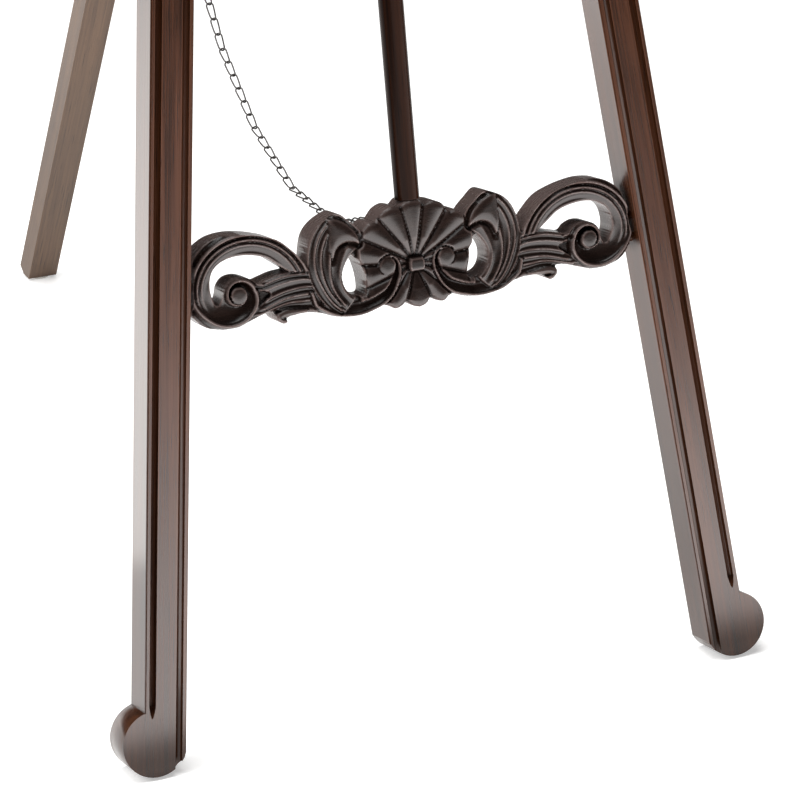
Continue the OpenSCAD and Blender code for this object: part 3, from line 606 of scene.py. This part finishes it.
def knot(x, y, z):
    """Small waisted knot in the middle of the shell."""
    half_width = 8.5 - 0.12 * (y - KNOT_Y) ** 2 / 4
    there = (x < half_width) & (np.abs(y - KNOT_Y) < KNOT_HALF)
    return np.where(there, 9.4 + 1.8 * np.sqrt(np.clip(1 - ((y - KNOT_Y) / KNOT_HALF) ** 4, 0, 1)), z)


def worn_edges(x, y, z):
    """Rounds the lobes' ends broadly and every other edge of the outline finely."""
    d = silhouette(x, y)
    reach = np.hypot(x - SHELL_HUB[0], y - SHELL_HUB[1])
    lobe_end = (reach > 38) & (x < 56) & (z < 13)
    z = z - np.where(lobe_end, 2.8 * (1 - rounded(d / 7.0)), 0)
    return z - 1.6 * (1 - rounded(d / 1.6))


PLAIN_HEIGHT = 3.0
LAYERS = (shell, outer_scroll, middle_leaf, hook, inner_volute, crescent, knot, worn_edges)


def relief_height(x, y):
    """Height of the carved face over the ground, in millimetres."""
    z = np.full(x.shape, PLAIN_HEIGHT)
    for layer in LAYERS:
        z = layer(x, y, z)
    return z


def box_distance(x, y, x0, x1, y0, y1):
    """Signed distance to an upright rectangle, positive inside."""
    return np.minimum(np.minimum(x - x0, x1 - x), np.minimum(y - y0, y1 - y))


# Inner faces of the front legs: half width between them, up the frame
leg_line = leg_direction("right_front_leg")
LEG_SLOPE = -leg_line @ np.array(ACROSS) / (leg_line @ np.array(UP))
leg_points = np.array([v.co for v in NODES["right_front_leg"].data.vertices], float) / MM
INNER_AT_0 = (leg_points @ np.array(ACROSS) + LEG_SLOPE * (leg_points @ np.array(UP))).min()


def to_legs(x, y, v0, gap=0.0):
    """Signed distance inwards from the leg's inner face."""
    return (INNER_AT_0 - gap - LEG_SLOPE * (v0 + y) - x) * math.cos(math.atan(LEG_SLOPE))


def stretcher_outline(x, y):
    """The carving, with square lands at its ends, cut off at the front legs."""
    d = np.maximum(silhouette(x, y), box_distance(x, y, 231, 262, -13.5, 19.5))
    return np.minimum(d, to_legs(x, y, stretcher_v))


def crest_outline(x, y):
    """The same carving without its outer scrolls, on a plain base between the leg tops."""
    d = np.minimum(silhouette(x, y, False), CREST_HALF - x)
    d = np.maximum(d, box_distance(x, y, -100, 100, -44, -30))
    return np.minimum(np.minimum(d, to_legs(x, y, crest_v, 1.0)), y + 44)


# ---------------------------------------------------------------- carved panels

def blur(field, reach):
    """Softens carved arrises by a small Gaussian."""
    half = int(3 * reach) + 1
    k = np.exp(-0.5 * (np.arange(-half, half + 1) / reach) ** 2)
    k /= k.sum()
    wide = np.pad(field, half, mode="edge")
    wide = np.apply_along_axis(lambda row: np.convolve(row, k, "valid"), 1, wide)
    return np.apply_along_axis(lambda col: np.convolve(col, k, "valid"), 0, wide)


def panel_mesh(us, hs, inside_by, height, front_of, back_at):
    """Closed solid: a relief over a grid, clipped exactly at the outline, with walls and a flat back.

    inside_by is the signed distance to the outline at each grid point, height the relief there, and
    front_of turns a height into a depth. Returns (across, back, up) vertices and triangles."""
    rows, cols = inside_by.shape
    u, h = np.meshgrid(us, hs)
    step = abs(us[1] - us[0])
    gy, gx = np.gradient(inside_by, hs, us)
    size = np.maximum(np.hypot(gx, gy), 0.3)
    close = np.abs(inside_by) < 0.36 * step
    u = np.where(close, u - inside_by * gx / size**2, u)
    h = np.where(close, h - inside_by * gy / size**2, h)
    s = np.where(close, 0.0, inside_by).ravel()
    u, h, z = u.ravel(), h.ravel(), height.ravel()
    i = np.arange(rows * cols).reshape(rows, cols)
    a, b, c, d = i[:-1, :-1].ravel(), i[:-1, 1:].ravel(), i[1:, 1:].ravel(), i[1:, :-1].ravel()
    odd = ((np.arange(rows - 1)[:, None] + np.arange(cols - 1)[None, :]) % 2 == 1).ravel()
    tris = np.vstack([np.c_[a, b, c][odd], np.c_[a, c, d][odd], np.c_[a, b, d][~odd], np.c_[b, c, d][~odd]])
    ins = s[tris] >= 0
    count = ins.sum(1)
    whole = tris[(count == 3) & ~(s[tris] == 0).all(1)]

    def corners(triangles, odd_one):
        """A triangle's corners in order, from the one that lies on the other side of the outline."""
        return [triangles[np.arange(len(triangles)), (odd_one + turn) % 3] for turn in range(3)]

    def crossed(p, q):
        return np.c_[np.minimum(p, q), np.maximum(p, q)]

    # A triangle with one corner inside keeps a corner; one with two inside keeps a four-sided piece
    kept, out_a, out_b = corners(tris[count == 1], ins[count == 1].argmax(1))
    lost, in_a, in_b = corners(tris[count == 2], (~ins[count == 2]).argmax(1))
    pairs = [crossed(kept, out_a), crossed(kept, out_b), crossed(in_b, lost), crossed(in_a, lost)]
    key, place = np.unique(np.vstack(pairs), axis=0, return_inverse=True)
    place = place.ravel()
    n = rows * cols
    ends = np.cumsum([0] + [len(x) for x in pairs])
    at = [n + place[ends[m]:ends[m + 1]] for m in range(len(pairs))]
    t = s[key[:, 0]] / (s[key[:, 0]] - s[key[:, 1]])
    u = np.r_[u, u[key[:, 0]] + t * (u[key[:, 1]] - u[key[:, 0]])]
    h = np.r_[h, h[key[:, 0]] + t * (h[key[:, 1]] - h[key[:, 0]])]
    z = np.r_[z, z[key[:, 0]] + t * (z[key[:, 1]] - z[key[:, 0]])]
    # An edge vertex that lands on a snapped grid point is that grid point
    alias = np.arange(len(u))
    alias[n:] = np.where(s[key[:, 0]] == 0, key[:, 0], np.where(s[key[:, 1]] == 0, key[:, 1], alias[n:]))
    faces = [whole, np.c_[kept, at[0], at[1]], np.c_[in_a, in_b, at[2]], np.c_[in_a, at[2], at[3]]]
    faces = alias[np.vstack(faces)]
    ok = (faces[:, 0] != faces[:, 1]) & (faces[:, 1] != faces[:, 2]) & (faces[:, 0] != faces[:, 2])
    faces = faces[ok]
    # Triangles wind the same way in (across, up)
    area = ((u[faces[:, 1]] - u[faces[:, 0]]) * (h[faces[:, 2]] - h[faces[:, 0]])
            - (u[faces[:, 2]] - u[faces[:, 0]]) * (h[faces[:, 1]] - h[faces[:, 0]]))
    faces = np.where((area < 0)[:, None], faces[:, ::-1], faces)
    faces = faces[np.abs(area) > 1e-9]
    used, faces = np.unique(faces, return_inverse=True)
    faces = faces.reshape(-1, 3)
    u, h, z = u[used], h[used], z[used]
    m = len(u)
    front = np.c_[u, front_of(z), h]
    back = np.c_[u, np.full(m, back_at), h]
    # Outline edges are those used by one triangle only
    directed = np.vstack([faces[:, [0, 1]], faces[:, [1, 2]], faces[:, [2, 0]]])
    undirected = np.sort(directed, axis=1)
    _, first, times = np.unique(undirected, axis=0, return_index=True, return_counts=True)
    rim = directed[first[times == 1]]
    start, end = rim.T
    walls = np.vstack([np.c_[end, start, start + m], np.c_[end, start + m, end + m]])
    return np.vstack([front, back]), np.vstack([faces, faces[:, ::-1] + m, walls])


def place_in_frame(points, v0):
    """(across, back, up) in millimetres, with up measured from v0, to world metres."""
    axes = np.array([ACROSS, BACK, UP])
    return ((points + [0, 0, v0]) @ axes) * MM


def carve(name, node, outline_by, v0, step, low, high, width, back_at):
    """Carved panel in place of a CAD node: worked out on the right half, then mirrored onto the left.

    low, high and width bound it around the carving's own zero, which stands v0 up the frame."""
    us = np.arange(-width, width + step, step)
    hs = np.arange(low, high + step, step)
    x, y = np.meshgrid(us, hs)
    half = us >= -1e-9
    xa, ya = np.abs(x[:, half]), y[:, half]
    columns = len(us) - np.argmax(half)
    mirrored = np.clip(np.round(np.abs(us) / step).astype(int), 0, columns - 1)
    inside_by = outline_by(xa, ya)[:, mirrored]
    height = blur(relief_height(xa, ya)[:, mirrored], ARRIS_BLUR / step)
    points, faces = panel_mesh(us, hs, inside_by, height, lambda z: GROUND - z, back_at)
    obj = make_mesh(name, place_in_frame(points, v0), faces, FINISH[node], 38)
    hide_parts(node)
    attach(obj, "front_frame")


# Grid of the relief, reach of the softened arrises, and how far behind the front faces the ground lies
STEP = 0.8
ARRIS_BLUR = 0.55
GROUND = 16.0
CREST_HALF = 116

low, high = in_frame("carved_stretcher")
stretcher_v = high[2] - SHELL_TOP[:, 1].max()
carve("stretcher_carving", "carved_stretcher", stretcher_outline, stretcher_v, STEP, -46, 72,
      math.ceil(high[0] / STEP + 2) * STEP, high[1])

low, high = in_frame("top_crest")
crest_v = high[2] - SHELL_TOP[:, 1].max()
carve("crest_carving", "top_crest", crest_outline, crest_v, STEP, -50, 72,
      math.ceil(CREST_HALF / STEP) * STEP, high[1])


# ---------------------------------------------------------------- chain

def islands(obj):
    """Centres of the separate solids in a CAD node, in metres."""
    co = np.array([v.co for v in obj.data.vertices], float)
    key = {}
    same = []
    for c in np.round(co / 1e-6).astype(np.int64):
        same.append(key.setdefault(tuple(c), len(key)))
    same = np.array(same)
    points = np.zeros((len(key), 3))
    points[same] = co
    root = np.arange(len(key))

    def find(k):
        while root[k] != k:
            root[k] = root[root[k]]
            k = root[k]
        return k

    for poly in obj.data.polygons:
        v = same[list(poly.vertices)]
        for other in v[1:]:
            root[find(v[0])] = find(other)
    groups = {}
    for k in range(len(key)):
        groups.setdefault(find(k), []).append(k)
    solids = [points[g] for g in groups.values() if len(g) > SMALLEST_LINK]
    return np.array([(s.min(0) + s.max(0)) / 2 for s in solids])


def twisted_link(length, width, wire, twist, around=48, sides=10):
    """One curb-chain link along X: an oval of round wire, twisted along its length."""
    r = (width - wire) / 2
    straight = length - width
    path = []
    total = 2 * straight + 2 * math.pi * r
    for k in range(around):
        s = total * k / around
        if s < straight:
            path.append((s - straight / 2, r))
        elif s < straight + math.pi * r:
            a = (s - straight) / r
            path.append((straight / 2 + r * math.sin(a), r * math.cos(a)))
        elif s < 2 * straight + math.pi * r:
            path.append((straight / 2 - (s - straight - math.pi * r), -r))
        else:
            a = (s - 2 * straight - math.pi * r) / r
            path.append((-straight / 2 - r * math.sin(a), -r * math.cos(a)))
    path = np.array(path)
    turn = twist * path[:, 0] / (length / 2)
    core = np.c_[path[:, 0], path[:, 1] * np.cos(turn), path[:, 1] * np.sin(turn)]
    ahead = np.roll(core, -1, 0) - np.roll(core, 1, 0)
    ahead /= np.linalg.norm(ahead, axis=1)[:, None]
    ref = np.c_[np.zeros(around), -np.sin(turn), np.cos(turn)]
    side = np.cross(ahead, ref)
    side /= np.linalg.norm(side, axis=1)[:, None]
    up = np.cross(side, ahead)
    verts, faces = [], []
    for k in range(around):
        for j in range(sides):
            a = 2 * math.pi * j / sides
            verts.append(core[k] + wire / 2 * (math.cos(a) * side[k] + math.sin(a) * up[k]))
    for k in range(around):
        for j in range(sides):
            n, m = (k + 1) % around, (j + 1) % sides
            faces.append((k * sides + j, k * sides + m, n * sides + m, n * sides + j))
    return np.array(verts), np.array(faces)


def link_roll(run, link):
    """Turn of a link about the chain: the first ones leave the screw eye out of line, the rest waver."""
    if run == 0 and link < EYE_LINKS:
        return math.radians(80 - 26 * link)
    return math.radians(4 * math.sin(2.1 * (3 * run + link)))


# A CAD link has more vertices than this
SMALLEST_LINK = 40
EYE_LINKS = 3
WIRE = 1.8
LINK_PLAY = 0.2
LINK_TWIST = math.radians(27)
CHAIN = sorted(n for n in NODES if n.startswith("chain_") and n[6:].isdigit())
run_low, run_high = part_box(CHAIN[0])
LINK_W = (run_high - run_low).x / MM
all_centres = [islands(NODES[n]) for n in CHAIN]
row = np.vstack(all_centres)
row = row[np.argsort(row[:, 1])]
PITCH = float(np.median(np.linalg.norm(np.diff(row, axis=0), axis=1))) / MM
LINK_L = PITCH + 2 * WIRE + LINK_PLAY
link_verts, link_faces = twisted_link(LINK_L, LINK_W, WIRE, LINK_TWIST)
for index, name in enumerate(CHAIN):
    joint = JOINTS[name + "_bend"]
    start = np.array(joint["pos_m"])
    centres = all_centres[index]
    centres = centres[np.argsort(np.linalg.norm(centres - start, axis=1))]
    ahead = centres[-1] - start
    ahead /= np.linalg.norm(ahead)
    across = np.array([1.0, 0.0, 0.0])
    lateral = np.cross(across, ahead)
    verts, faces = [], []
    for k, centre in enumerate(centres):
        roll = link_roll(index, k)
        y = math.cos(roll) * across + math.sin(roll) * lateral
        z = -math.sin(roll) * across + math.cos(roll) * lateral
        faces.append(link_faces + len(link_verts) * k)
        verts.append(centre + (link_verts * MM) @ np.array([ahead, y, z]))
    piece = make_mesh("links_" + name[6:], np.vstack(verts), np.vstack(faces), black_steel)
    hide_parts(name)
    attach(piece, name)


# ---------------------------------------------------------------- studio

floor_mat, floor_tree, floor_bsdf = node_tree("studio_floor")
floor_bsdf.inputs["Base Color"].default_value = (0.86, 0.86, 0.85, 1)
floor_bsdf.inputs["Roughness"].default_value = 0.85
floor_bsdf.inputs["Emission Color"].default_value = (1, 1, 1, 1)
floor_bsdf.inputs["Emission Strength"].default_value = 0.45
FLOOR_SIDE = 60
bpy.ops.mesh.primitive_plane_add(size=FLOOR_SIDE, location=(0, 0, 0))
floor = bpy.context.object
floor.name = "studio_floor"
floor.data.materials.append(floor_mat)

world = bpy.data.worlds.new("studio")
bpy.context.scene.world = world
world.use_nodes = True
world.node_tree.nodes["Background"].inputs[0].default_value = (1.0, 1.0, 1.0, 1)
world.node_tree.nodes["Background"].inputs[1].default_value = 0.05


def soft_light(name, place, aim, size, power, colour=(1, 1, 1)):
    """A rectangular lamp that no camera sees."""
    data = bpy.data.lights.new(name, "AREA")
    data.shape = "RECTANGLE"
    data.size, data.size_y = size
    data.energy = power
    data.color = colour
    lamp = bpy.data.objects.new(name, data)
    bpy.context.scene.collection.objects.link(lamp)
    lamp.location = place
    lamp.visible_camera = False
    lamp.rotation_euler = (Vector(aim) - Vector(place)).to_track_quat("-Z", "Y").to_euler()


# Two lamps hang above; two strips lie on the floor, facing up, and light the faces that lean forward
middle = Vector((0, 0.3, 0.5))
soft_light("top", (-0.4, 0.6, 3.4), middle, (3.0, 3.0), 165)
soft_light("key", (-2.5, 0.3, 2.2), (-0.5, 0.6, 0.1), (1.6, 1.6), 60)
soft_light("glow", (0.8, -6.2, 0.02), (0.8, -6.2, 1.0), (4.4, 12.0), 860, (1.0, 0.95, 0.94))
soft_light("card", (-1.2, 1.9, 0.02), (-1.2, 1.9, 1.0), (1.5, 2.8), 22, (1.0, 0.97, 0.94))

# The camera stands to the left of the easel, above it, and looks down at its lower half
VIEW_AZIMUTH = math.radians(23.88)
VIEW_DROP = math.radians(23.997)
VIEW_ROLL = math.radians(0.143)
LOOKS_AT = Vector((0.0172, 0.1839, 0.2741))
STANDS_BACK = 4.04
LENS = 177.3
camera_data = bpy.data.cameras.new("camera")
camera_data.lens = LENS
camera = bpy.data.objects.new("camera", camera_data)
bpy.context.scene.collection.objects.link(camera)
look = Vector((math.sin(VIEW_AZIMUTH) * math.cos(VIEW_DROP), math.cos(VIEW_AZIMUTH) * math.cos(VIEW_DROP),
               -math.sin(VIEW_DROP)))
camera.matrix_world = (Matrix.Translation(LOOKS_AT - look * STANDS_BACK)
                       @ Matrix.Rotation(-VIEW_AZIMUTH, 4, "Z")
                       @ Matrix.Rotation(math.pi / 2 - VIEW_DROP, 4, "X")
                       @ Matrix.Rotation(VIEW_ROLL, 4, "Z"))
bpy.context.scene.camera = camera
bpy.context.scene.view_settings.view_transform = "Standard"
